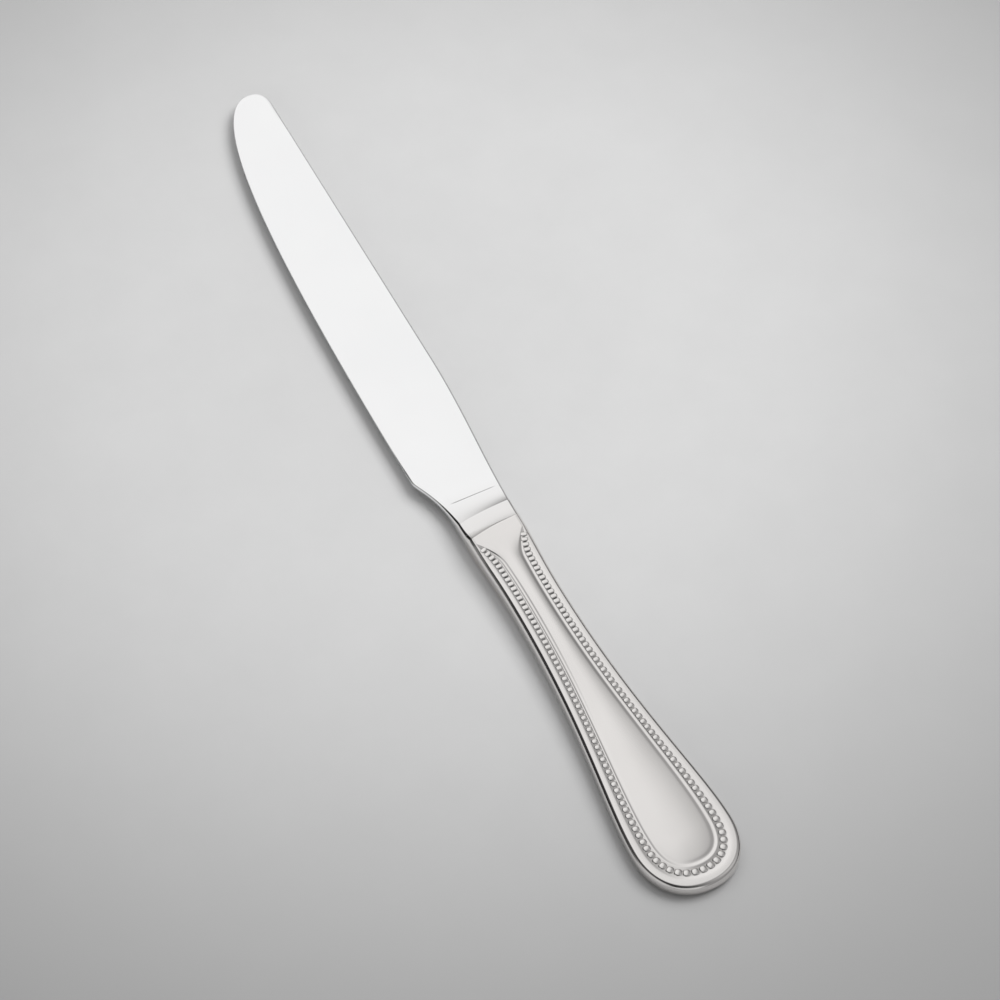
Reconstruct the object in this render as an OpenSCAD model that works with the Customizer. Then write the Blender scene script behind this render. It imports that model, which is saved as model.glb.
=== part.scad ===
// Table knife with a solid handle, lying on its back face as on a set table.
// X runs along the knife, with the tip at +X. Y runs across it, with the cutting edge at +Y. Z is up.
// Shapes are worked out from the joint between blade and handle, at x = 0, and then centred:
// the origin is at the middle of the box round the knife, at the height of the table.

/* [Handle] */
// Length of the handle, from the joint to its round end
handle_l = 96.6; // [80:0.1:115]
// Width of the handle at its neck
neck_w = 11.8; // [10.6:0.1:14]
// Distance from the joint to the neck
neck_x = 19.6; // [14:0.1:28]
// Greatest width of the handle, near its end
end_w = 22; // [18:0.1:25]
// Length of the round end past the greatest width
end_l = 12.5; // [9:0.1:16]
// Thickness at the joint end, over both panels
neck_t = 5.2; // [4.8:0.1:7]
// Thickness at the round end, over both panels
end_t = 3.6; // [3.4:0.1:5]
// Width of the rounded outer edge, seen from above
edge_r = 0.9; // [0.6:0.05:1.2]

/* [Beaded border] */
// Width of the border on the sides, from the outer edge to the panel
border_w = 4; // [3.4:0.05:4.3]
// How much wider the border is at the round end, as a share of its width
border_growth_share = 0.5; // [0:0.05:0.7]
// Depth of the channel that the beads stand in
channel_d = 0.35; // [0.2:0.05:0.45]
// Distance from the joint to the first beads
row_start = 5.2; // [4:0.1:8]
// Beads on each side, from the first one up to the one in the middle of the round end
side_beads = 63; // [40:1:70]
// How much larger the last beads are than the first
bead_growth_share = 0.4; // [0:0.05:0.6]
// Gap between neighbouring beads, next to the first one
bead_gap = 0.15; // [0.05:0.05:0.3]
// Height of a bead over the floor of its channel
bead_h = 0.45; // [0.3:0.05:0.6]
// Height of the panel over the rim of the border
panel_rise = 0.25; // [0.1:0.05:0.4]
// Width of the rounded shoulder of the panel
shoulder_w = 0.6; // [0.3:0.05:0.8]

/* [Blade] */
// Length from the joint to the tip
blade_l = 133.4; // [110:0.1:150]
// Distance from the middle line to the spine
spine_y = 8.7; // [7.5:0.05:10]
// Distance from the middle line to the cutting edge
edge_y = 9.75; // [8:0.05:12]
// Distance from the joint to where the spine runs straight
spine_x = 47; // [30:1:70]
// Length of the small curve at the end of the spine
nose_l = 4.9; // [3:0.1:8]
// Distance of the foremost point from the line of the spine
nose_drop = 3.75; // [2:0.05:5]
// Thickness of the spine at the bolster
spine_t = 2.2; // [1.6:0.1:3]
// Thickness of the spine at the tip
tip_t = 1.2; // [0.8:0.1:1.6]
// Thickness of the blade where the ground bevel starts
grind_t = 0.7; // [0.5:0.05:1]
// Width of the ground bevel along the cutting edge
bevel_w = 1.2; // [0.8:0.1:2]

/* [Bolster] */
// Width at the joint
joint_w = 12.9; // [10.8:0.1:15]
// Thickness at the joint
joint_t = 4.6; // [4:0.1:5.2]
// Length from the joint to the crease where the flat of the blade starts
bolster_l = 9.4; // [7:0.1:12]
// Distance from the joint to where the underside of the bolster turns down into the heel
heel_start = 4.4; // [3:0.1:8]
// Distance from the joint to the end of the heel's curve on the cutting edge
heel_end = 18.6; // [16:0.1:24]

/* [Tang and seam] */
// Length of the tang inside the handle
tang_l = 18; // [12:0.5:24]
// Width of the tang
tang_w = 6; // [4:0.1:7]
// Thickness of the tang
tang_t = 2; // [1.4:0.1:2.2]
// Thickness of the brazed seam, across the joint and all round the tang
seam_t = 0.12; // [0.08:0.01:0.2]
// How far the seam lies inside the outer surface
seam_inset = 0.15; // [0.05:0.05:0.3]

/* [Hidden] */

// The curves of the outline: for each end, the share of the span that keeps the direction of that end
waist_shares = [0.4, 0.4];
flank_shares = [0.51, 0.19];
end_shares = [0.62, 0.6];
spine_shares = [0.35, 0.39];
heel_shares = [0.6, 0.25];
nose_shares = [0.68, 0.65];
belly_shares = [0.85, 0.54];

// A rounded edge is a superellipse of this exponent, and an exponent of one makes it a flat bevel
round_n = 2.6;
bevel_n = 1;

// Lines of the border's profile: share of its width, and share of the channel's depth.
// They are the rim's inner edge, the two feet of the channel, and the crest and foot of the small ridge.
border_shares = [[0.3, 0], [0.38, 1], [0.72, 1], [0.83, 0.1], [0.96, 0.6]];
// Lines of the panel's profile: share of its half width, and share of its rise
panel_shares = [[0, 0.4], [0.2, 0.85], [0.4, 1], [1, 1]];
// Middle of the row of beads, as a share of the border's width
row_share = 0.55;
// Where the border opens out from the outer edge beside the joint, as shares of the row's start
open_shares = [0.6, 2];
// Share of the border's width that is left at the joint
open_min_share = 0.04;
// Length of the small step at the joint up to the full thickness, as a share of the row's start
riser_share = 0.17;
// Place along the handle where the border starts to widen
widen_share = 0.5;
// Width of a bead's flat top, as a share of its widest ring
bead_top_share = 0.5;
// How deep that ring is sunk under the floor of the channel, as a share of the bead's height
bead_sunk_share = 0.4;

// Steps of the bolster: share of its length, and share of its extra thickness over the blade.
// The cutting side thickens from before the crease, so its steps run on into the heel.
bolster_shares = [[0, 1], [0.44, 0.92], [0.54, 0.78], [1, 0]];
heel_side_shares = [[0, 1], [0.44, 0.92], [0.54, 0.78], [1, 0.25], [1.7, 0]];
// Rounding of the spine, as a share of its thickness there
spine_round_share = 0.15;
// Most of the blade's width that the rounding or the bevel may take near the tip
tip_round_share = 0.35;
// Lines across the flat of the blade, as shares of its width
flat_shares = [0.35, 0.7];

// Number of steps along each stretch of the model
start_steps = 12;
side_steps = 14;
end_steps = 9;
round_steps = 4;
heel_steps = 8;
blade_steps = 10;
tip_steps = 12;
fine_steps = 60;
bead_sides = 6;

wide_x = handle_l - end_l;
start_l = row_start * open_shares[1];
mid_z = neck_t / 2;
tip_y = nose_drop - spine_y;
tip_l = 4 * nose_l;
centre = [(handle_l - blade_l) / 2, (max(spine_y, end_w / 2) - max(edge_y, end_w / 2)) / 2, 0];

function mix(a, b, share) = a + (b - a) * share;
function clamp(v) = min(1, max(0, v));
function ease(v) = let (c = clamp(v)) c * c * (3 - 2 * c);
function bezier(p, t) = let (u = 1 - t)
    u * u * u * p[0] + 3 * u * u * t * p[1] + 3 * u * t * t * p[2] + t * t * t * p[3];
function curve(p, steps) = [for (i = [0:steps]) bezier(p, i / steps)];
// A curve that leaves a and reaches b along X
function along(a, b, shares) = [a, [mix(a.x, b.x, shares[0]), a.y], [mix(b.x, a.x, shares[1]), b.y], b];
// A curve that leaves a along X and reaches b along Y
function corner(a, b, shares) = [a, [mix(a.x, b.x, shares[0]), a.y], [b.x, mix(b.y, a.y, shares[1])], b];
// A point of a rounded edge: the shares of its width and of its height that are reached at an angle
function round_point(angle, n) = [1 - pow(cos(angle), 2 / n), pow(sin(angle), 2 / n)];
round_angles = [for (i = [0:round_steps]) 90 * i / round_steps];

// Outline of the handle on one side, as far as its greatest width, and the round end after it
side_outline = concat(
    curve(along([0, joint_w / 2], [-neck_x, neck_w / 2], waist_shares), fine_steps),
    curve(along([-neck_x, neck_w / 2], [-wide_x, end_w / 2], flank_shares), fine_steps));
end_curve = corner([-wide_x, end_w / 2], [-handle_l, 0], end_shares);

// Outline of the blade on its two sides
spine_outline = concat(
    curve(along([0, -joint_w / 2], [spine_x, -spine_y], spine_shares), fine_steps),
    curve(corner([blade_l - nose_l, -spine_y], [blade_l, tip_y], nose_shares), fine_steps));
edge_outline = concat(
    [[0, joint_w / 2]],
    curve(along([heel_start, joint_w / 2], [heel_end, edge_y], heel_shares), fine_steps),
    curve(corner([heel_end, edge_y], [blade_l, tip_y], [belly_shares[1], belly_shares[0]]), fine_steps));

// Border and thickness of the handle at a distance along it
function border_open(x) = max(open_min_share,
    sin(90 * clamp((-x / row_start - open_shares[0]) / (open_shares[1] - open_shares[0]))));
function border_here(x) = let (g = clamp((-x / handle_l - widen_share) / (1 - widen_share)))
    border_w * (1 + border_growth_share * g * g);
function thickness(x) = mix(neck_t, end_t, clamp(-x / handle_l));
function panel_half(x) = mix(joint_t, thickness(x), ease(-x / (row_start * riser_share))) / 2;

// A cut runs from a point of the outline straight in to a foot on the middle line
function side_cut(x) = [[x, lookup(x, side_outline)], [x, 0]];
function end_cut(t) = [bezier(end_curve, t), [-wide_x, 0]];
function depth_in(cut, share) = edge_r + share * (border_here(cut[0].x) - edge_r) * border_open(cut[0].x);
function cut_point(cut, depth) = mix(cut[0], cut[1], depth / norm(cut[1] - cut[0]));

// Profile of a cut, from the outer edge in to the middle line.
// Each line has its depth in from the edge, its share of the rim's height, and what is added to that.
function profile(cut) = let (
        open = border_open(cut[0].x),
        inner = depth_in(cut, 1) + shoulder_w * open,
        middle = norm(cut[1] - cut[0]))
    concat(
        [for (a = round_angles) let (r = round_point(a, round_n)) [edge_r * r[0], r[1], 0]],
        [for (b = border_shares) [depth_in(cut, b[0]), 1, -channel_d * b[1] * open]],
        [for (p = panel_shares) [mix(inner, middle, p[0]), 1, panel_rise * p[1] * open]]);
function surface_point(cut, line, face, side) = let (
        p = cut_point(cut, line[0]),
        rim = panel_half(p.x) - panel_rise * border_open(cut[0].x))
    [p.x, side * p.y, thickness(p.x) / 2 + face * (rim * line[1] + line[2])];
// All points of a cut: over the top from the middle line to the edge, and back underneath
function cut_points(cut, side) = let (lines = profile(cut), n = len(lines) - 1)
    concat([for (k = [n:-1:0]) surface_point(cut, lines[k], 1, side)],
        [for (k = [1:n]) surface_point(cut, lines[k], -1, side)]);

half_cuts = concat(
    [for (i = [0:start_steps - 1]) side_cut(-start_l * i / start_steps)],
    [for (i = [0:side_steps]) side_cut(-mix(start_l, wide_x, i / side_steps))],
    [for (i = [1:end_steps]) end_cut(i / end_steps)]);

module handle_body() {
    half = len(half_cuts) - 1;
    fan = half - end_steps;
    cuts = 2 * half;
    rows = [for (i = [0:cuts]) cut_points(half_cuts[min(i, cuts - i)], i <= half ? 1 : -1)];
    row_l = len(rows[0]);
    // Both sides share the points on the middle line, and the cuts of the round end share one foot
    foot = [for (i = [0:cuts]) min(i, fan, cuts - i)];
    ids = [for (i = [0:cuts]) [for (k = [0:row_l - 1])
        k == 0 || k == row_l - 1 ? foot[i] * row_l + k : i * row_l + k]];
    quads = [for (i = [0:cuts - 1], k = [0:row_l - 2])
        [ids[i][k], ids[i + 1][k], ids[i + 1][k + 1], ids[i][k + 1]]];
    triangles = [for (q = quads, t = [[q[0], q[1], q[2]], [q[0], q[2], q[3]]])
        if (t[0] != t[1] && t[1] != t[2] && t[2] != t[0]) t];
    joint_face = concat(ids[0], [for (k = [row_l - 2:-1:1]) ids[cuts][k]]);
    polyhedron([for (row = rows) each row], concat(triangles, [joint_face]));
}

// Middle line of the row of beads on one side, with the length run so far at each point
row_path = [for (cut = concat(
        [for (i = [0:fine_steps]) side_cut(-mix(row_start, wide_x, i / fine_steps))],
        [for (i = [1:fine_steps]) end_cut(i / fine_steps)]))
    cut_point(cut, depth_in(cut, row_share))];
row_runs = [for (i = 0, run = 0; i < len(row_path);
    i = i + 1, run = i < len(row_path) ? run + norm(row_path[i] - row_path[i - 1]) : run) run];
row_l = row_runs[len(row_runs) - 1];
row_xs = [for (i = [0:len(row_path) - 1]) [row_runs[i], row_path[i].x]];
row_ys = [for (i = [0:len(row_path) - 1]) [row_runs[i], row_path[i].y]];
// The beads grow steadily from the first one to the round end
function bead_run(i) = row_l * (pow(1 + bead_growth_share, i / side_beads) - 1) / bead_growth_share;
function bead_pitch(i) = bead_run(i + 0.5) - bead_run(i - 0.5);

// A bead is less than half a ball: its widest ring is sunk, so that it meets the floor on a slant
module bead(d) {
    ring_d = d / mix(1, bead_top_share, bead_sunk_share / (1 + bead_sunk_share));
    hull() {
        translate([0, 0, -bead_h]) cylinder(d = ring_d, h = bead_h * (1 - bead_sunk_share), $fn = bead_sides);
        cylinder(d = ring_d * bead_top_share, h = bead_h, $fn = bead_sides);
    }
}

module bead_row(face) {
    for (i = [0:side_beads], side = i < side_beads ? [-1, 1] : [1]) {
        x = lookup(bead_run(i), row_xs);
        y = lookup(bead_run(i), row_ys);
        floor_z = thickness(x) / 2 + face * (panel_half(x) - panel_rise - channel_d);
        pitch = bead_pitch(i);
        translate([x, side * y, floor_z]) scale([1, 1, face])
            bead(pitch * (1 - bead_gap / bead_pitch(0)));
    }
}

// The bar of the tang, grown all round and at its end by a gap
module tang_bar(gap) {
    translate([-tang_l - gap, -tang_w / 2 - gap, mid_z - tang_t / 2 - gap])
        cube([tang_l + gap, tang_w + 2 * gap, tang_t + 2 * gap]);
}

module handle() {
    color("silver") translate(centre) difference() {
        union() {
            handle_body();
            bead_row(1);
            bead_row(-1);
        }
        tang_bar(seam_t);
    }
}

// One cut across the blade or bolster, as points [y, z] about the middle plane.
// It runs over the top from the spine to the cutting edge, and back underneath.
function blade_section(x) = let (
        back = lookup(x, bolster_shares * [[bolster_l, 0], [0, 1]]),
        front = lookup(x, heel_side_shares * [[bolster_l, 0], [0, 1]]),
        y1 = lookup(x, spine_outline),
        y2 = lookup(x, edge_outline),
        spine_h = mix(spine_t, tip_t, clamp((x - bolster_l) / (blade_l - bolster_l))) / 2,
        h1 = mix(spine_h, joint_t / 2, back),
        h2 = mix(grind_t / 2, joint_t / 2, front),
        r_max = tip_round_share * (y2 - y1),
        r1 = min(r_max, mix(spine_h * 2 * spine_round_share, edge_r, back)),
        r2 = min(r_max, mix(bevel_w, edge_r, front)),
        n2 = mix(bevel_n, round_n, front),
        over = concat(
            [for (a = round_angles) let (r = round_point(a, round_n)) [y1 + r1 * r[0], h1 * r[1]]],
            [for (s = flat_shares) [mix(y1 + r1, y2 - r2, s), mix(h1, h2, s)]],
            [for (i = [round_steps:-1:0]) let (r = round_point(round_angles[i], n2))
                [y2 - r2 * r[0], h2 * r[1]]]))
    concat(over, [for (i = [len(over) - 2:-1:1]) [over[i].x, -over[i].y]]);

blade_xs = concat(
    [for (i = [0:len(bolster_shares) - 2], s = [0, 0.5])
        bolster_l * mix(bolster_shares[i][0], bolster_shares[i + 1][0], s)],
    [for (i = [0:heel_steps - 1]) mix(bolster_l, heel_end, i / heel_steps)],
    [for (i = [0:blade_steps - 1]) mix(heel_end, blade_l - tip_l, i / blade_steps)],
    [for (i = [0:tip_steps - 1]) blade_l - tip_l * (1 - sin(90 * i / tip_steps))],
    [blade_l - tip_l * (1 - sin(90 * (tip_steps - 0.4) / tip_steps))]);

module blade_body() {
    rows = [for (x = blade_xs) [for (p = blade_section(x)) [max(x, seam_t), p.x, mid_z + p.y]]];
    row_l = len(rows[0]);
    ends = len(rows) - 1;
    quads = [for (i = [0:ends - 1], k = [0:row_l - 1]) let (j = (k + 1) % row_l)
        [i * row_l + k, i * row_l + j, (i + 1) * row_l + j, (i + 1) * row_l + k]];
    polyhedron([for (row = rows) each row], concat(
        [for (q = quads, t = [[q[0], q[1], q[2]], [q[0], q[2], q[3]]]) t],
        [[for (k = [row_l - 1:-1:0]) k]],
        [[for (k = [0:row_l - 1]) ends * row_l + k]]));
}

module blade() {
    color("whitesmoke") translate(centre) union() {
        blade_body();
        tang_bar(0);
        translate([0, -tang_w / 2, mid_z - tang_t / 2]) cube([2 * seam_t, tang_w, tang_t]);
    }
}

module braze() {
    color("darkgray") translate(centre) difference() {
        union() {
            translate([0, 0, mid_z]) rotate([90, 0, 90]) linear_extrude(seam_t)
                offset(delta = -seam_inset) polygon(blade_section(0));
            tang_bar(seam_t);
        }
        tang_bar(0);
        translate([0, -tang_w / 2, mid_z - tang_t / 2]) cube([2 * seam_t, tang_w, tang_t]);
    }
}

handle();
blade();
braze();
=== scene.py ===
import math

import bmesh
import bpy
import numpy as np
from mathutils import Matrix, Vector


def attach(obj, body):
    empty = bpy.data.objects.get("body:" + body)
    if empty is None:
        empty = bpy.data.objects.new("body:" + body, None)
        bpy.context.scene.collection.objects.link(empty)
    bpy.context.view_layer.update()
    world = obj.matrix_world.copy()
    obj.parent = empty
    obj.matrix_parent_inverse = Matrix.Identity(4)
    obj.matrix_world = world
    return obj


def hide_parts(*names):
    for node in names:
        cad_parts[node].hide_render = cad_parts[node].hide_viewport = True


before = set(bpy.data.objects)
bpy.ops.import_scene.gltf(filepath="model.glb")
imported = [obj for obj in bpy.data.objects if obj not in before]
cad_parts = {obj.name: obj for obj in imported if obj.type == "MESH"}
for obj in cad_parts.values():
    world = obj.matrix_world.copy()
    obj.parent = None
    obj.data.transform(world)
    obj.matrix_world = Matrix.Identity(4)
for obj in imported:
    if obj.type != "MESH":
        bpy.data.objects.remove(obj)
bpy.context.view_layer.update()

MM = 0.001

# Measures of the knife in millimetres, with the joint between handle and blade at x = 0
HANDLE_L, NECK_W, NECK_X, END_W, END_L = 96.6, 11.8, 19.6, 22.0, 12.5
NECK_T, END_T, EDGE_R = 5.2, 3.6, 1.0
BORDER_W, BORDER_GROWTH, CHANNEL_D = 4.0, 0.5, 0.15
ROW_START, SIDE_BEADS, BEAD_GROWTH, BEAD_GAP, BEAD_H = 5.2, 63, 0.4, 0.15, 0.24
PANEL_RISE, SHOULDER_W = 0.32, 0.6
BLADE_L, SPINE_Y, EDGE_Y, SPINE_X = 133.4, 8.7, 9.75, 47.0
NOSE_L, NOSE_DROP = 4.9, 3.75
SPINE_T, TIP_T, GRIND_T, BEVEL_W = 2.2, 1.2, 0.7, 1.2
JOINT_W, JOINT_T, BOLSTER_L, HEEL_START, HEEL_END = 12.9, 5.1, 9.4, 4.4, 18.6
SEAM_T, SEAM_INSET = 0.12, 0.01
CENTRE_X = (HANDLE_L - BLADE_L) / 2
WIDE_X = HANDLE_L - END_L
MID_Z = NECK_T / 2

# How the border opens at the neck, in shares of ROW_START: least share, start and length.
# The joint's thickness turns into the handle's over NECK_FADE of the same length.
OPEN_MIN, OPEN_FROM, OPEN_OVER, NECK_FADE = 0.04, 0.6, 1.4, 0.3
# Share of the handle's length behind which the border grows
GROWTH_FROM = 0.5

# Bolster: the middle step, as shares of the bolster's length and of its extra thickness, and how
# hollow the last riser is. The first riser has a foot and a hollow on the spine's side and on the
# edge's side, and the rounding of the edge follows a straighter one.
STEP_AT, STEP_LEVEL, STEP_HOLLOW = 0.48, 0.62, 2.2
SPINE_FOOT, SPINE_HOLLOW = 1.0, 2.2
EDGE_FOOT, EDGE_HOLLOW, ROUNDING_HOLLOW = 1.8, 3.0, 1.7
# Its steps lean back towards the cutting edge, so that there the last one ends on the handle.
# The handle's rows up to LEAN_ROWS move to the crest, and those up to LEAN_END give way.
CREST_MIN, LEAN, LEAN_ROWS, LEAN_END = 0.06, 1.9, 1.2, 3.2

# Blade: reach of the thinning at the tip, rounding of the spine as a share of half its thickness,
# radius of the cutting edge and of the thicker edge at the heel, and the length this fades over
TIP_FADE, SPINE_ROUND, CUT_R, ROUND_N = 16, 0.5, 0.1, 2.6
HEEL_T, HEEL_R, HEEL_FADE = 1.1, 0.4, 12
# Ground bevel: share of the thickness it takes, along the edge and at the tip, where it starts
# before the heel's end, the length it grows over, and its width at the tip
BEVEL_CUT, TIP_CUT, BEVEL_START, BEVEL_GROWTH, TIP_BEVEL_W = 0.5, 0.12, 2, 6, 0.5
# Fine line where the bolster runs out: depth, length of its drop and of its return, and across
# the blade its half width, its centre and the length it fades over, in shares of the width
LINE_D, LINE_DROP, LINE_RETURN = 0.085, 0.3, 7
LINE_HALF_W, LINE_CENTRE, LINE_FADE = 0.44, 0.47, 0.14
# How fast the spine's rounding turns into the cutting edge's across the blade, and where
SIDE_TURN, SIDE_START = 1.5, 0.25


def mix(a, b, t):
    return a + (b - a) * t


def clamp(v):
    return np.minimum(1, np.maximum(0, v))


def ease(v):
    c = clamp(v)
    return c * c * (3 - 2 * c)


def bezier(p, t):
    p = np.asarray(p, float)
    t = np.asarray(t, float)[..., None]
    u = 1 - t
    return u ** 3 * p[0] + 3 * u * u * t * p[1] + 3 * u * t * t * p[2] + t ** 3 * p[3]


def along(a, b, shares):
    """A curve that leaves a and reaches b along X. The shares say how far its two arms reach."""
    return [a, (mix(a[0], b[0], shares[0]), a[1]), (mix(b[0], a[0], shares[1]), b[1]), b]


def corner(a, b, shares):
    """A curve that leaves a along X and reaches b along Y, with arms of the given shares."""
    return [a, (mix(a[0], b[0], shares[0]), a[1]), (b[0], mix(b[1], a[1], shares[1])), b]


def smooth_through(xs, ys, at):
    """A curve through the key points that never overshoots them (monotone cubic)."""
    xs, ys, at = np.asarray(xs, float), np.asarray(ys, float), np.asarray(at, float)
    h, d = np.diff(xs), np.diff(ys) / np.diff(xs)
    m = np.zeros(len(xs))
    same = d[:-1] * d[1:] > 0
    w1, w2 = 2 * h[1:] + h[:-1], h[1:] + 2 * h[:-1]
    inner = np.zeros(len(xs) - 2)
    inner[same] = (w1 + w2)[same] / (w1[same] / d[:-1][same] + w2[same] / d[1:][same])
    m[1:-1] = inner
    m[0], m[-1] = d[0], 0
    i = np.clip(np.searchsorted(xs, at, side="right") - 1, 0, len(h) - 1)
    t = (at - xs[i]) / h[i]
    return ((1 + 2 * t) * (1 - t) ** 2 * ys[i] + t * (1 - t) ** 2 * h[i] * m[i]
            + t * t * (3 - 2 * t) * ys[i + 1] + t * t * (t - 1) * h[i] * m[i + 1])


# Outlines, as in the part's source but for a sharper corner at the heel
FINE = np.linspace(0, 1, 400)
NECK_SIDE, WIDE_SIDE = (-NECK_X, NECK_W / 2), (-WIDE_X, END_W / 2)
BLADE_TIP = (BLADE_L, NOSE_DROP - SPINE_Y)
side_line = np.concatenate([
    bezier(along((0, JOINT_W / 2), NECK_SIDE, (0.4, 0.4)), FINE),
    bezier(along(NECK_SIDE, WIDE_SIDE, (0.51, 0.19)), FINE[1:])])
end_curve = corner(WIDE_SIDE, (-HANDLE_L, 0), (0.62, 0.6))
spine_line = np.concatenate([
    bezier(along((0, -JOINT_W / 2), (SPINE_X, -SPINE_Y), (0.35, 0.39)), FINE),
    bezier(corner((BLADE_L - NOSE_L, -SPINE_Y), BLADE_TIP, (0.68, 0.65)), FINE)])
edge_line = np.concatenate([
    [(0, JOINT_W / 2)],
    bezier(along((HEEL_START, JOINT_W / 2), (HEEL_END, EDGE_Y), (0.6, 0.14)), FINE),
    bezier(corner((HEEL_END, EDGE_Y), BLADE_TIP, (0.54, 0.85)), FINE[1:])])


def side_y(x):
    return np.interp(-x, -side_line[:, 0], side_line[:, 1])


def border_open(x):
    """Share of the border's full size, which it reaches a little behind the neck."""
    return np.maximum(OPEN_MIN,
                      np.sin(math.pi / 2 * clamp((-x / ROW_START - OPEN_FROM) / OPEN_OVER)))


def border_here(x):
    g = clamp((-x / HANDLE_L - GROWTH_FROM) / (1 - GROWTH_FROM))
    return BORDER_W * (1 + BORDER_GROWTH * g * g)


def thickness(x):
    return mix(NECK_T, END_T, clamp(-x / HANDLE_L))


def panel_half(x):
    return mix(JOINT_T, thickness(x), ease(-x / (ROW_START * NECK_FADE))) / 2


# Bolster
def cove(t, start, end, low, high, hollow):
    """A hollow riser that climbs from low at its end to high at its start, where it is steepest."""
    return low + (high - low) * clamp((end - t) / (end - start)) ** hollow


def bolster_share(x, foot, hollow):
    """Share of the bolster's extra thickness over the blade: two hollow steps."""
    t = x / BOLSTER_L
    return np.where(t < STEP_AT, cove(t, 0, STEP_AT, STEP_LEVEL, 1, STEP_HOLLOW),
                    cove(t, STEP_AT, foot, 0, STEP_LEVEL, hollow))


def crest_back(y):
    """How far behind the joint the crest of the last step lies."""
    return CREST_MIN + LEAN * clamp((y / (JOINT_W / 2) + 1) / 2) ** 2


def bolster_level(run, across, spine_h, edge_h):
    """Half the thickness at a run from the crest, between the spine's side and the edge's side."""
    h1 = mix(spine_h, JOINT_T / 2, bolster_share(run, SPINE_FOOT, SPINE_HOLLOW))
    h2 = mix(edge_h, JOINT_T / 2, bolster_share(run, EDGE_FOOT, EDGE_HOLLOW))
    return mix(h1, h2, across)


def lean_joint(rows):
    """Moves the handle's first rows to the leaning crest, and lowers those before it."""
    back, y = -rows[..., 0], rows[..., 1]
    crest = crest_back(y)
    gives_way = crest + (back - LEAN_ROWS) / (LEAN_END - LEAN_ROWS) * (LEAN_END - crest)
    moved = np.where(back < LEAN_ROWS, back / LEAN_ROWS * crest,
                     np.where(back < LEAN_END, gives_way, back))
    across = clamp((y + JOINT_W / 2 - EDGE_R) / (JOINT_W - BEVEL_W - EDGE_R))
    level = bolster_level(np.maximum(0, crest - moved), across, SPINE_T / 2, HEEL_T / 2)
    centre = thickness(-back) / 2
    lowered = np.where(back < LEAN_END, level / (JOINT_T / 2), 1)
    rows[..., 2] = centre + (rows[..., 2] - centre) * lowered
    rows[..., 0] = -moved
    return rows


# Profile of the handle from its outer edge to the middle line: key lines as shares of the
# border's width with heights in shares of the channel's depth, then shares of the panel
BORDER_KEYS = ((0, 0), (0.12, 0.05), (0.22, 0), (0.37, -0.7), (0.45, -1), (0.63, -1), (0.71, -0.8),
               (0.79, -0.12), (0.83, 0), (0.87, -0.16), (0.955, -0.38))
PANEL_KEYS = ((0, 0.18), (0.15, 0.43), (0.3, 0.62), (0.5, 0.81), (0.75, 0.955), (1, 1))
BORDER_STEPS = (3, 3, 6, 2, 3, 2, 5, 3, 3, 5)
# Rounded outer edge: share of its width from the outside in, and share of the height reached there
EDGE_KEYS = ((0, 0.03, 0.08, 0.66, 0.8, 0.88, 1), (0, 0.4, 0.58, 0.945, 0.986, 0.998, 1))
ROUND_STEPS, SHOULDER_STEPS, PANEL_STEPS = 20, 7, (3, 2, 2, 2, 2)
# Half the panel's width at which its crown is full, its share at the shoulder, and where it grows
CROWN_W, CROWN_MIN, CROWN_FROM = 6, 0.35, 0.8
# The channel's painted shade: how fast it falls with the depth, and how it fades along the handle
MARK_POWER, MARK_OPEN, MARK_FAR, MARK_FADE_X, MARK_FADE_L = 6, 1.2, 0.3, 22, 28
# The handle's rows are close together up to here
CLOSE_ROWS_END = 13


def spread(knots, steps):
    """The knots with evenly spaced points between them."""
    out = [knots[0]]
    for a, b, n in zip(knots[:-1], knots[1:], steps):
        out.extend(mix(a, b, (i + 1) / n) for i in range(n))
    return np.array(out)


def stretches(*parts):
    """Evenly spaced places from each start to its end, without the ends."""
    return np.concatenate([np.linspace(start, end, n)[:-1] for start, end, n in parts])


def cuts_along(xs, end_n):
    """Cuts from the outer edge to the middle line, and round the end to its centre."""
    cuts = [((-x, float(side_y(-x))), (-x, 0.0)) for x in xs]
    turns = np.linspace(0, 1, end_n)[1:]
    return cuts + [(tuple(bezier(end_curve, t)), (-WIDE_X, 0.0)) for t in turns]


def handle_cut(outer, foot):
    """Depth from the edge, share of the rim's height, added height and painted shade along one cut.
    """
    opened = float(border_open(outer[0]))
    border = float(border_here(outer[0]))
    length = math.dist(outer, foot)
    depth_at = lambda share: EDGE_R + share * (border - EDGE_R) * opened
    inner = depth_at(1) + SHOULDER_W * opened
    # The narrower the panel and the nearer the shoulder, the flatter its crown
    crown = clamp((length - inner) / CROWN_W) ** 0.5
    crown *= mix(CROWN_MIN, 1.0, ease((-outer[0] - ROW_START * CROWN_FROM) / ROW_START))
    keys = [depth_at(s) for s, _ in BORDER_KEYS] + [mix(inner, length, s) for s, _ in PANEL_KEYS]
    highs = [CHANNEL_D * opened * h for _, h in BORDER_KEYS]
    highs += [PANEL_RISE * opened * (1 - (1 - h) * crown) for _, h in PANEL_KEYS]
    round_u = np.linspace(0, 1, ROUND_STEPS + 1)[:-1] ** 1.5
    at = spread(keys, BORDER_STEPS + (SHOULDER_STEPS,) + PANEL_STEPS)
    depth = np.concatenate([EDGE_R * round_u, at])
    share = np.concatenate([smooth_through(*EDGE_KEYS, round_u), np.ones(len(at))])
    added = smooth_through(keys, highs, at)
    # Painted shade: the deeper the channel lies, the darker its colour, fading along the handle
    low = clamp(-added / (CHANNEL_D * opened)) ** MARK_POWER * clamp(opened * MARK_OPEN)
    low *= mix(1.0, MARK_FAR, ease((-outer[0] - MARK_FADE_X) / MARK_FADE_L))
    plain = np.zeros(len(round_u))
    added, recess_shade = np.concatenate([plain, added]), np.concatenate([plain, low])
    return depth, share, added, recess_shade, opened, length


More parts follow.
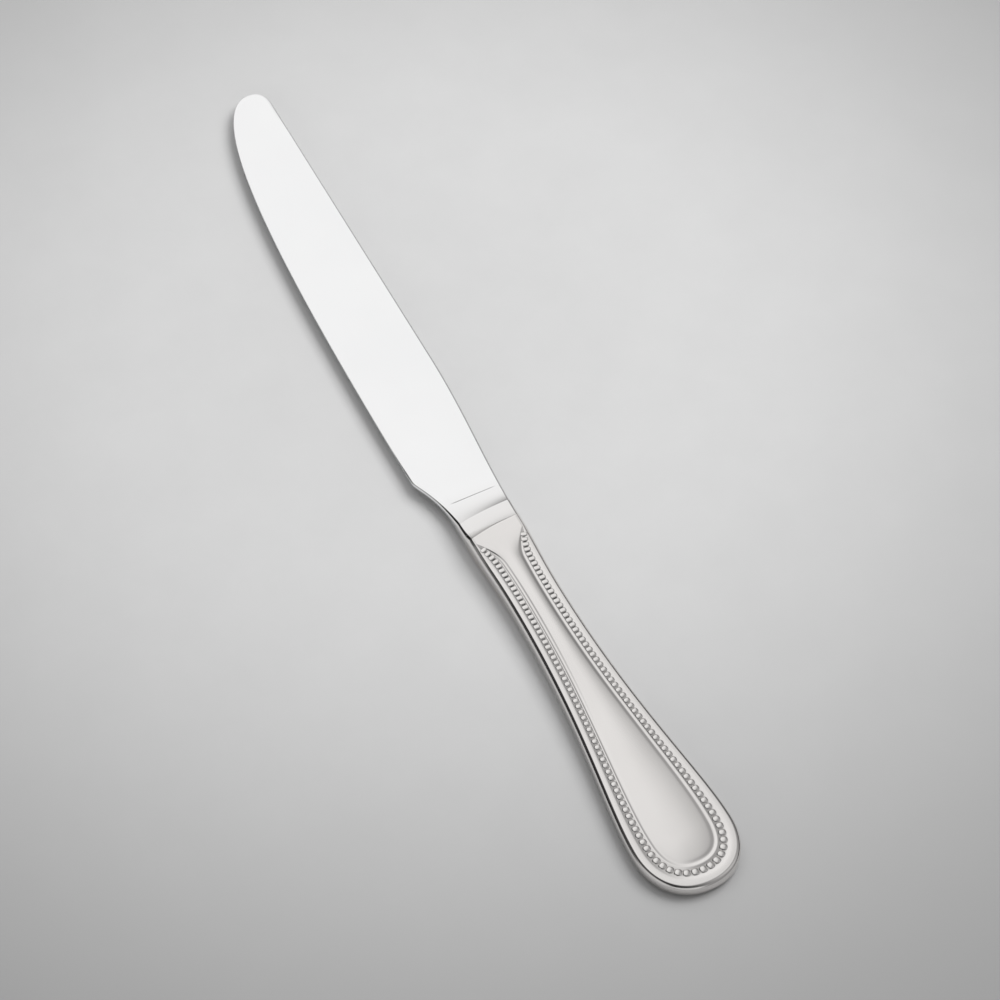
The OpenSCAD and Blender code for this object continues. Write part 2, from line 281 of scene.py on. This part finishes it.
def handle_rows():
    """Points of every cut, from the joint on the +Y side round the end to the -Y side's joint."""
    near = stretches((0, LEAN_ROWS, 13), (LEAN_ROWS, CLOSE_ROWS_END, 66))
    far = np.linspace(CLOSE_ROWS_END, WIDE_X, 92)
    half = []
    for outer, foot in cuts_along(np.concatenate([near, far]), 65):
        depth, share, added, recess_shade, opened, length = handle_cut(outer, foot)
        t = depth / length
        x, y = mix(outer[0], foot[0], t), mix(outer[1], foot[1], t)
        rim = panel_half(x) - PANEL_RISE * opened
        centre_z = thickness(x) / 2
        up = centre_z + rim * share + added
        down = centre_z - rim * share - added
        pts = np.concatenate([np.stack([x, y, up], 1)[::-1], np.stack([x, y, down], 1)[1:]])
        half.append((pts, np.concatenate([recess_shade[::-1], recess_shade[1:]])))
    rows = [p for p, _ in half] + [p * (1, -1, 1) for p, _ in half[-2::-1]]
    shade_marks = [r for _, r in half] + [r for _, r in half[-2::-1]]
    return lean_joint(np.array(rows)), np.array(shade_marks)


# Meshes: points closer than MERGE_M metres are one, and edges over SHARP_DEG degrees stay sharp
MERGE_M, SHARP_DEG = 1e-6, 42


def add_object(name, data):
    obj = bpy.data.objects.new(name, data)
    bpy.context.scene.collection.objects.link(obj)
    return obj


def new_piece(name, verts, faces, shade_marks=None):
    """A mesh from points in millimetres, with the painted recess shade of each point where it has
    one.
    """
    mesh = bpy.data.meshes.new(name)
    pts = np.asarray(verts, float).reshape(-1, 3) * MM + np.array([CENTRE_X * MM, 0, 0])
    mesh.from_pydata(pts.tolist(), [], faces)
    if shade_marks is not None:
        # The painted recess shade goes into an attribute that the handle's material reads
        layer = mesh.attributes.new("recess_shade", "FLOAT", "POINT")
        layer.data.foreach_set("value", np.asarray(shade_marks, np.float32).ravel())
    work = bmesh.new()
    work.from_mesh(mesh)
    bmesh.ops.remove_doubles(work, verts=work.verts, dist=MERGE_M)
    bmesh.ops.recalc_face_normals(work, faces=work.faces)
    work.to_mesh(mesh)
    work.free()
    mesh.shade_smooth()
    mesh.set_sharp_from_angle(angle=math.radians(SHARP_DEG))
    return add_object(name, mesh)


def grid_faces(rows, row_l, closed=False):
    faces = []
    span = row_l if closed else row_l - 1
    for i in range(rows - 1):
        a = i * row_l
        for k in range(span):
            j = (k + 1) % row_l
            faces.append((a + k, a + row_l + k, a + row_l + j, a + j))
    return faces


def tube_faces(rows, row_l):
    """Closed rows joined to each other, with a face over both ends."""
    first, last = range(row_l), (rows - 1) * row_l
    faces = grid_faces(rows, row_l, closed=True)
    return faces + [tuple(first), tuple(last + k for k in first)[::-1]]


# Beads: a dome for each, on the middle line of the channel on both faces. Near the shoulder they
# are flat bars with gaps darkened by painted shade, and further on they are round domes. For both
# kinds: how square they are across the row, how level their top is, the strength of the gap's
# painted shade, the gap's width in shares of BEAD_GAP, and the height. Then where the bars start to
# turn into domes, and over how long.
BAR = (5.0, 8.0, 1.2, 1.1, CHANNEL_D)
DOME = (2.6, 4.0, 0.2, 0.7, BEAD_H)
BARS_END, BARS_FADE = 0.12, 0.45
# Squareness along the row, height of the top's rim as a share, and depth of the foot
BEAD_N, BEAD_RIM, BEAD_FOOT = 2.4, 0.05, 0.35
# Middle of the channel as a share of the border, least half width, width to length, highest share
ROW_AT, BEAD_MIN_R, BEAD_WIDTH, BEAD_TOP = 0.55, 0.78, 1.08, 0.8
# Painted shade of the gaps: where it starts along a bead, the length it grows over, how fast it
# falls with the height. The row's direction at a bead is taken over STEP to both sides.
GAP_FROM, GAP_GROWTH, GAP_FALL, STEP = 0.5, 0.3, 1.4, 0.3


def bead_path():
    """Points along the row from the shoulder to the end of the handle, and the run to each."""
    pts = []
    for outer, foot in cuts_along(np.linspace(ROW_START, WIDE_X, 900), 400):
        border, opened = float(border_here(outer[0])), float(border_open(outer[0]))
        t = (EDGE_R + ROW_AT * (border - EDGE_R) * opened) / math.dist(outer, foot)
        pts.append((mix(outer[0], foot[0], t), mix(outer[1], foot[1], t)))
    pts = np.array(pts)
    runs = np.concatenate([[0], np.cumsum(np.linalg.norm(np.diff(pts, axis=0), axis=1))])
    return pts, runs


def power(value, exponent):
    return math.copysign(abs(value) ** exponent, value)


def bead_dome(blunt, flat, rings=5, around=16):
    """A unit bead whose foot reaches under the floor. Blunt squares its plan, and flat its top."""
    level = lambda u, b: (u * power(math.cos(b), 2 / BEAD_N),
                          u ** (BEAD_N / blunt) * power(math.sin(b), 2 / blunt))
    pts, faces = [(0, 0, 1)], []
    turns = [2 * math.pi * (k + 0.25) / around for k in range(around)]
    for r in range(1, rings + 1):
        u = math.sin(math.pi / 2 * r / rings)
        pts.extend((*level(u, b), 1 - (1 - BEAD_RIM) * u ** flat) for b in turns)
    pts.extend((*level(1, b), -BEAD_FOOT) for b in turns)
    for k in range(around):
        j = (k + 1) % around
        faces.append((0, 1 + k, 1 + j))
        for r in range(rings):
            a = 1 + r * around
            faces.append((a + k, a + around + k, a + around + j, a + j))
    faces.append(tuple(1 + rings * around + k for k in range(around))[::-1])
    return np.array(pts, float), faces


def bead_rows():
    path, runs = bead_path()
    run = lambda i: runs[-1] * ((1 + BEAD_GROWTH) ** (i / SIDE_BEADS) - 1) / BEAD_GROWTH
    path_at = lambda s: np.array([np.interp(s, runs, path[:, 0]), np.interp(s, runs, path[:, 1])])
    verts, faces, shade_marks = [], [], []
    count = 0
    for i in range(SIDE_BEADS + 1):
        s = run(i)
        far = ease((i / SIDE_BEADS - BARS_END) / BARS_FADE)
        blunt, flat, gap_shade, gap, height = (mix(a, b, far) for a, b in zip(BAR, DOME))
        unit, unit_faces = bead_dome(blunt, flat)
        x, y = path_at(s)
        dx, dy = path_at(s + STEP) - path_at(s - STEP) if i < SIDE_BEADS else (0.0, -1.0)
        way = np.array([dx, dy]) / math.hypot(dx, dy)
        pitch = run(i + 0.5) - run(i - 0.5)
        long_r = (pitch - gap * BEAD_GAP) / 2
        wide_r = max(BEAD_MIN_R, long_r * BEAD_WIDTH)
        opened = float(border_open(x))
        height = min(height, BEAD_TOP * (PANEL_RISE + CHANNEL_D) * opened)
        floor_h = panel_half(x) - PANEL_RISE * opened - CHANNEL_D * opened
        u, v, w = unit[:, 0] * long_r, unit[:, 1] * wide_r, unit[:, 2] * height
        px = x + u * way[0] - v * way[1]
        py = y + u * way[1] + v * way[0]
        # Only the flanks that face the next bead carry the gap's painted shade
        facing_next = np.clip((np.abs(unit[:, 0]) - GAP_FROM) / GAP_GROWTH, 0, 1)
        painted_shade = np.clip(gap_shade - unit[:, 2] * GAP_FALL, 0, 1) * facing_next
        for side in ((1, -1) if i < SIDE_BEADS else (1,)):
            for face in (1, -1):
                floor_z = thickness(x) / 2 + face * floor_h
                verts.append(np.stack([px, side * py, floor_z + face * w], 1))
                faces.extend(tuple(count + k for k in f) for f in unit_faces)
                shade_marks.append(painted_shade)
                count += len(unit)
    return np.concatenate(verts), faces, np.concatenate(shade_marks)


rows, shade_marks = handle_rows()
row_n, row_l = rows.shape[:2]
shell_n, last = row_n * row_l, (row_n - 1) * row_l
handle_faces = grid_faces(row_n, row_l)
handle_faces.append(tuple(range(row_l)) + tuple(last + k for k in range(row_l - 2, 0, -1)))
bead_verts, bead_faces, bead_shade_marks = bead_rows()
handle_faces += [tuple(shell_n + k for k in f) for f in bead_faces]
handle_skin = new_piece("handle_skin", np.concatenate([rows.reshape(-1, 3), bead_verts]),
                        handle_faces, np.concatenate([shade_marks.ravel(), bead_shade_marks]))


# Blade and bolster
def edge_share(depth, width):
    return smooth_through(*EDGE_KEYS, clamp(depth / width))


def round_share(depth, width):
    t = 1 - clamp(depth / width)
    return np.maximum(0, 1 - t ** ROUND_N) ** (1 / ROUND_N)


def thinned(line, every=4, kept=60):
    """Every fourth point of a line, and all of its last ones, where the tip curves."""
    n = len(line)
    return line[np.unique(np.concatenate([np.arange(0, n, every), np.arange(max(0, n - kept), n)]))]


def distance_to(line, pts, batch=2000):
    """Least distance of each point to a line of points."""
    a, b = line[:-1], line[1:]
    span = b - a
    size = np.maximum((span ** 2).sum(1), 1e-12)
    out = np.empty(len(pts))
    for i in range(0, len(pts), batch):
        p = pts[i:i + batch, None, :]
        t = clamp(((p - a) * span).sum(2) / size)
        out[i:i + batch] = np.sqrt(((p - a - t[..., None] * span) ** 2).sum(2).min(1))
    return out


def blade_heights(x, y, y1, y2):
    """Half the thickness at each point, where the blade reaches from y1 at its spine to y2."""
    back = bolster_share(x, SPINE_FOOT, SPINE_HOLLOW)
    front = bolster_share(x, EDGE_FOOT, ROUNDING_HOLLOW)
    spine_h = mix(SPINE_T, TIP_T, clamp((x - BOLSTER_L) / (BLADE_L - BOLSTER_L))) / 2
    tip = ease((x - BLADE_L + TIP_FADE) / TIP_FADE)
    heel = 1 - ease((x - HEEL_END) / HEEL_FADE)
    r1 = mix(spine_h * SPINE_ROUND, EDGE_R, back)
    r2 = mix(mix(CUT_R, HEEL_R, heel), EDGE_R, front)
    across = clamp((y - y1 - r1) / np.maximum(y2 - BEVEL_W - y1 - r1, 0.05))
    run = x + crest_back(y) * clamp(1 - x / BOLSTER_L)
    level = bolster_level(run, across, mix(spine_h, GRIND_T / 2, tip),
                          mix(GRIND_T, HEEL_T, heel) / 2)
    pts = np.stack([x, y], 1)
    d1 = distance_to(thinned(spine_line), pts)
    d2 = distance_to(thinned(edge_line), pts)
    near = np.minimum(d1, d2)
    # The ground bevel thins the blade towards the cutting edge, and dies out at the heel
    bevel_growth = ease((x - HEEL_END + BEVEL_START) / BEVEL_GROWTH)
    depth = mix(BEVEL_CUT * (1 - front) * bevel_growth, TIP_CUT, tip)
    bevel = 1 - depth + depth * clamp(near / mix(BEVEL_W, TIP_BEVEL_W, tip))
    cutting = bevel * mix(round_share(near, r2), edge_share(near, r2), np.maximum(front, heel))
    blunt = mix(mix(round_share(near, r1), edge_share(near, r1), back), cutting, tip)
    side = ease(SIDE_TURN * d1 / np.maximum(d1 + d2, 1e-9) - SIDE_START)
    # The fine line where the bolster runs out fades towards both edges
    middle = ease((LINE_HALF_W - np.abs((y - y1) / (y2 - y1) - LINE_CENTRE)) / LINE_FADE)
    line = (ease((x - BOLSTER_L) / LINE_DROP)
            - ease((x - BOLSTER_L - LINE_DROP) / LINE_RETURN))
    return (level - LINE_D * middle * line) * mix(blunt, cutting, side)


# Sections along the blade: close together where the bolster runs out, and towards the tip
ACROSS = 60
LINE_FROM, LINE_TO, HEEL_TO, TIP_FROM = 9.2, 9.9, HEEL_END + 4, BLADE_L - 4 * NOSE_L
tip_turns = np.radians(np.linspace(0, 89.7, 90))
stations = np.concatenate([
    stretches((SEAM_T, LINE_FROM, 90), (LINE_FROM, LINE_TO, 22), (LINE_TO, HEEL_TO, 80),
              (HEEL_TO, TIP_FROM, 50)),
    BLADE_L - 4 * NOSE_L * (1 - np.sin(tip_turns))])
places = 0.5 - 0.5 * np.cos(np.pi * np.linspace(0, 1, ACROSS))
low_y = np.interp(stations, spine_line[:, 0], spine_line[:, 1])
high_y = np.interp(stations, edge_line[:, 0], edge_line[:, 1])
grid_x = np.repeat(stations, ACROSS)
grid_y1, grid_y2 = np.repeat(low_y, ACROSS), np.repeat(high_y, ACROSS)
grid_y = grid_y1 + (grid_y2 - grid_y1) * np.tile(places, len(stations))
grid_h = blade_heights(grid_x, grid_y, grid_y1, grid_y2).reshape(-1, ACROSS)
grid_h[:, 0] = grid_h[:, -1] = 0
grid_x, grid_y = grid_x.reshape(-1, ACROSS), grid_y.reshape(-1, ACROSS)
over = np.stack([grid_x, grid_y, MID_Z + grid_h], 2)
under = np.stack([grid_x, grid_y, MID_Z - grid_h], 2)[:, -2:0:-1]
blade_pts = np.concatenate([over, under], 1)
section_l = blade_pts.shape[1]
blade_skin = new_piece("blade_skin", blade_pts, tube_faces(len(stations), section_l))

# Seam of filler across the joint, a little under the surface
seam_outline = blade_pts[0, :, 1:] - (0, MID_Z)
seam_outline = seam_outline * (1 - SEAM_INSET / np.abs(seam_outline).max(0))
seam_pts = np.array([[(x, y, MID_Z + z) for y, z in seam_outline] for x in (0, SEAM_T)])
seam_skin = new_piece("seam_skin", seam_pts, tube_faces(2, section_l))


# Materials. The blade's polish ends between these distances from the joint.
SOFT_FROM, SOFT_TO = 2, 12


def material(name):
    mat = bpy.data.materials.new(name)
    mat.use_nodes = True
    tree = mat.node_tree
    return mat, tree, tree.nodes["Principled BSDF"]


def set_inputs(node, values):
    for key, value in values.items():
        node.inputs[key].default_value = value


def new_node(tree, kind, values=None):
    node = tree.nodes.new(kind)
    set_inputs(node, values or {})
    return node


def noise(tree, coords, scale, detail, rough=0.5, stretch=(1, 1, 1), seed=0.0):
    place = new_node(tree, "ShaderNodeMapping",
                     {"Scale": stretch, "Location": (seed, seed * 0.7, seed * 1.3)})
    tex = new_node(tree, "ShaderNodeTexNoise",
                   {"Scale": scale, "Detail": detail, "Roughness": rough})
    tree.links.new(coords.outputs["Object"], place.inputs["Vector"])
    tree.links.new(place.outputs["Vector"], tex.inputs["Vector"])
    return tex.outputs["Fac"]


def spread_range(tree, value, low, high, lo_in=0.3, hi_in=0.7, how="LINEAR"):
    node = new_node(tree, "ShaderNodeMapRange",
                    {"From Min": lo_in, "From Max": hi_in, "To Min": low, "To Max": high})
    node.interpolation_type = how
    tree.links.new(value, node.inputs["Value"])
    return node.outputs["Result"]


def arithmetic(tree, how, a, b):
    node = tree.nodes.new("ShaderNodeMath")
    node.operation = how
    for socket, value in zip(node.inputs, (a, b)):
        if isinstance(value, (int, float)):
            socket.default_value = value
        else:
            tree.links.new(value, socket)
    return node.outputs[0]


def add(tree, a, b):
    return arithmetic(tree, "ADD", a, b)


def times(tree, a, b):
    return arithmetic(tree, "MULTIPLY", a, b)


def blend_colour(tree, fac, a, b):
    node = tree.nodes.new("ShaderNodeMix")
    node.data_type = "RGBA"
    tree.links.new(fac, node.inputs["Factor"])
    for key, value in (("A", a), ("B", b)):
        socket = next(s for s in node.inputs if s.name == key and s.type == "RGBA")
        if isinstance(value, tuple):
            socket.default_value = (*value, 1)
        else:
            tree.links.new(value, socket)
    return next(s for s in node.outputs if s.type == "RGBA")


def steel(name, tones, roughness, line_scale, line_strength, grain_strength,
          recess_shade=None, joint=None):
    """Stainless steel: tint drift, fine lines from polishing, micro grain and hairline scratches.

    The recess colour is painted shade for the marked recesses, and joint the tone and added
    roughness at the bolster.
    """
    mat, tree, shader = material(name)
    links = tree.links
    coords = tree.nodes.new("ShaderNodeTexCoord")
    drift = noise(tree, coords, scale=45, detail=2)
    lines = noise(tree, coords, scale=1, detail=4, rough=0.6, stretch=line_scale, seed=1.3)
    grain = noise(tree, coords, scale=5200, detail=2, seed=2.1)
    smudge = noise(tree, coords, scale=90, detail=4, rough=0.55, stretch=(1, 1.6, 1.6), seed=4.0)
    streaks = noise(tree, coords, scale=1, detail=1, rough=0.4, stretch=(60, 5200, 5200), seed=6.2)
    scratches = spread_range(tree, streaks, 0, 1, lo_in=0.70, hi_in=0.74)
    colour = blend_colour(tree, spread_range(tree, drift, 0, 1), *tones)
    rough = spread_range(tree, smudge, *roughness)
    rough = add(tree, rough, spread_range(tree, lines, -0.02, 0.02))
    if joint:
        # Towards the bolster the polish turns into the softer finish and tone of the handle
        place = tree.nodes.new("ShaderNodeSeparateXYZ")
        links.new(coords.outputs["Object"], place.inputs["Vector"])
        soft = spread_range(tree, place.outputs["X"], 1, 0,
                            lo_in=(CENTRE_X + SOFT_FROM) * MM, hi_in=(CENTRE_X + SOFT_TO) * MM)
        colour = blend_colour(tree, soft, colour, joint[0])
        rough = add(tree, rough, times(tree, soft, joint[1]))
    if recess_shade:
        # Painted shade: the marked recesses are darkened and a little rougher, and the darkening
        # varies by noise
        painted_shade = tree.nodes.new("ShaderNodeAttribute")
        painted_shade.attribute_name = "recess_shade"
        shade_variation = noise(tree, coords, scale=900, detail=3, rough=0.6, seed=8.0)
        depth = times(tree, painted_shade.outputs["Fac"], spread_range(tree, shade_variation, 0.75, 1.0))
        colour = blend_colour(tree, depth, colour, recess_shade)
        rough = add(tree, rough, times(tree, depth, 0.10))
    links.new(colour, shader.inputs["Base Color"])
    links.new(rough, shader.inputs["Roughness"])
    height = add(tree, times(tree, lines, line_strength), times(tree, grain, grain_strength))
    height = add(tree, height, times(tree, scratches, -0.25 * line_strength))
    bump = new_node(tree, "ShaderNodeBump", {"Strength": 1.0, "Distance": 0.01 * MM})
    links.new(height, bump.inputs["Height"])
    links.new(bump.outputs["Normal"], shader.inputs["Normal"])
    set_inputs(shader, {"Metallic": 1.0, "Specular IOR Level": 0.5})
    return mat


# The handle's channels and bead gaps get a near-black painted shade
handle_steel = steel(
    "handle_steel_look", tones=((0.80, 0.778, 0.762), (0.77, 0.748, 0.732)),
    roughness=(0.14, 0.19), line_scale=(120, 4200, 4200), line_strength=0.04,
    grain_strength=0.05, recess_shade=(0.05, 0.048, 0.046))
blade_steel = steel(
    "blade_steel_look", tones=((0.90, 0.90, 0.90), (0.88, 0.882, 0.885)),
    roughness=(0.12, 0.16), line_scale=(2600, 180, 180), line_strength=0.03,
    grain_strength=0.015, joint=((0.80, 0.785, 0.775), 0.03))
braze_metal = steel(
    "braze_metal_look", tones=((0.76, 0.75, 0.74), (0.72, 0.71, 0.69)),
    roughness=(0.26, 0.34), line_scale=(800, 800, 800), line_strength=0.1, grain_strength=0.1)

for piece, node, slot, look in ((handle_skin, "handle", "handle_steel", handle_steel),
                                (blade_skin, "blade", "blade_steel", blade_steel),
                                (seam_skin, "braze", "braze_metal", braze_metal)):
    piece.data.materials.append(look)
    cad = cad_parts[node]
    cad.data.materials.clear()
    cad.data.materials.append(look)
    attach(piece, "root")
    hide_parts(node)

# Floor, in metres. Its tone sinks slowly away from the middle: a painted pool of light, darker
# where it ends.
FLOOR_REACH, POOL_CENTRE, POOL_START, POOL_END = 3.0, (0.036, -0.010, 0), 0.05, 0.22
FLOOR_TONES, FAR_SHADE_TONE = ((0.80, 0.80, 0.80), (0.775, 0.775, 0.775)), (0.39, 0.39, 0.39)
floor_mesh = bpy.data.meshes.new("floor")
floor_mesh.from_pydata([(x * FLOOR_REACH, y * FLOOR_REACH, 0)
                        for x, y in ((-1, -1), (1, -1), (1, 1), (-1, 1))], [], [(0, 1, 2, 3)])
floor = add_object("floor", floor_mesh)
floor_mat, floor_tree, floor_shader = material("pale_floor")
floor_coords = floor_tree.nodes.new("ShaderNodeTexCoord")
floor_noise = noise(floor_tree, floor_coords, scale=60, detail=5, rough=0.6)
floor_tone = blend_colour(floor_tree, spread_range(floor_tree, floor_noise, 0, 1), *FLOOR_TONES)
# Painted light: the floor's colour darkens towards the far tone away from the pool's centre
floor_far = new_node(floor_tree, "ShaderNodeVectorMath", {1: POOL_CENTRE})
floor_far.operation = "DISTANCE"
floor_tree.links.new(floor_coords.outputs["Object"], floor_far.inputs[0])
painted_pool_fall = spread_range(floor_tree, floor_far.outputs["Value"], 0, 1,
                          lo_in=POOL_START, hi_in=POOL_END, how="SMOOTHSTEP")
floor_tone = blend_colour(floor_tree, painted_pool_fall, floor_tone, FAR_SHADE_TONE)
floor_tree.links.new(floor_tone, floor_shader.inputs["Base Color"])
set_inputs(floor_shader, {"Roughness": 0.85, "Specular IOR Level": 0.2})
floor_mesh.materials.append(floor_mat)

# Camera: fitted to the photograph. Its frame is turned against the knife's axis.
TURN = math.radians(-63.471)
AX = Vector((-math.cos(TURN), -math.sin(TURN)))
AY = Vector((-AX.y, AX.x))
LOOK_X, LOOK_Y = -10.192, -5.846
CAMERA_AT, CAMERA_LENS, SENSOR_W, NEAREST = (0, -540, 720), 154.3, 36, 0.01


def from_view(right, away, up):
    """A point to the right of, behind and over the one that the camera looks at, in millimetres."""
    x = right * AX.x + away * AX.y + LOOK_X
    y = right * AY.x + away * AY.y + LOOK_Y
    return Vector((x, y, up)) * MM


def place_and_aim(obj, place):
    obj.location = from_view(*place)
    way = from_view(0, 0, 0) - obj.location
    obj.rotation_euler = way.to_track_quat("-Z", "Y").to_euler()


cam_data = bpy.data.cameras.new("camera")
cam_data.lens = CAMERA_LENS
cam_data.sensor_width = SENSOR_W
cam_data.clip_start = NEAREST
camera = add_object("camera", cam_data)
place_and_aim(camera, CAMERA_AT)
bpy.context.scene.camera = camera

# Light: one large soft box high on the right, which the steel doesn't reflect, in a bright tent
LIGHT_AT, LIGHT_SIZE, LIGHT_POWER = (560, 380, 1000), 0.8, 8.4
light_data = bpy.data.lights.new("soft_box_side", "AREA")
light_data.shape = "RECTANGLE"
light_data.size = light_data.size_y = LIGHT_SIZE
light_data.energy = LIGHT_POWER
light = add_object("soft_box_side", light_data)
place_and_aim(light, LIGHT_AT)
light.visible_glossy = False

# Each part of the tent has a way to the right, away and up in the camera's frame, the cosines of
# the angle to it between which the brightness changes, and the brightness at both. The bright
# cloth fills the back and the top, and sinks towards the horizon, the right and straight above.
CLOTH = ((0.2, 0.55, 0.8), 0.46, 0.78, 0.03, 1.0)
HORIZON_FALL = ((0, 0, 1), -0.05, 0.66, 0.1, 1.0)
RIGHT_FALL = ((1, 0, 0), -0.04, 0.34, 1.0, 0.4)
TOP_FALL = ((0, 0, 1), 0.83, 0.99, 1.0, 0.82)
# Low reflectors to the right, in front and to the left light what is seen from the other sides
REFLECTORS = (((0.9, -0.45, 0.35), 0.6, 0.95, 0.0, 0.3),
              ((0.1, -0.95, 0.3), 0.84, 0.97, 0.0, 0.6),
              ((-0.78, -0.58, 0.24), 0.72, 0.95, 0.0, 0.6))
world = bpy.data.worlds.new("studio")
bpy.context.scene.world = world
world.use_nodes = True
tent = world.node_tree
sky = tent.nodes.new("ShaderNodeTexCoord")


def tent_level(way, low, high, dark, bright):
    """Brightness that goes from dark to bright as the direction turns towards the way."""
    toward = new_node(tent, "ShaderNodeVectorMath",
                      {1: (from_view(*way) - from_view(0, 0, 0)).normalized()})
    toward.operation = "DOT_PRODUCT"
    tent.links.new(sky.outputs["Generated"], toward.inputs[0])
    return spread_range(tent, toward.outputs["Value"], dark, bright,
                        lo_in=low, hi_in=high, how="SMOOTHSTEP")


glow = times(tent, times(tent, tent_level(*CLOTH), tent_level(*HORIZON_FALL)),
             times(tent, tent_level(*RIGHT_FALL), tent_level(*TOP_FALL)))
for reflector in REFLECTORS:
    glow = add(tent, glow, tent_level(*reflector))
background = tent.nodes["Background"]
tent.links.new(glow, background.inputs["Color"])
background.inputs["Strength"].default_value = 1.0

scene = bpy.context.scene
scene.view_settings.view_transform = "Standard"
scene.view_settings.look = "None"
scene.view_settings.exposure = 0.0
scene.view_settings.gamma = 1.0

bpy.context.view_layer.update()
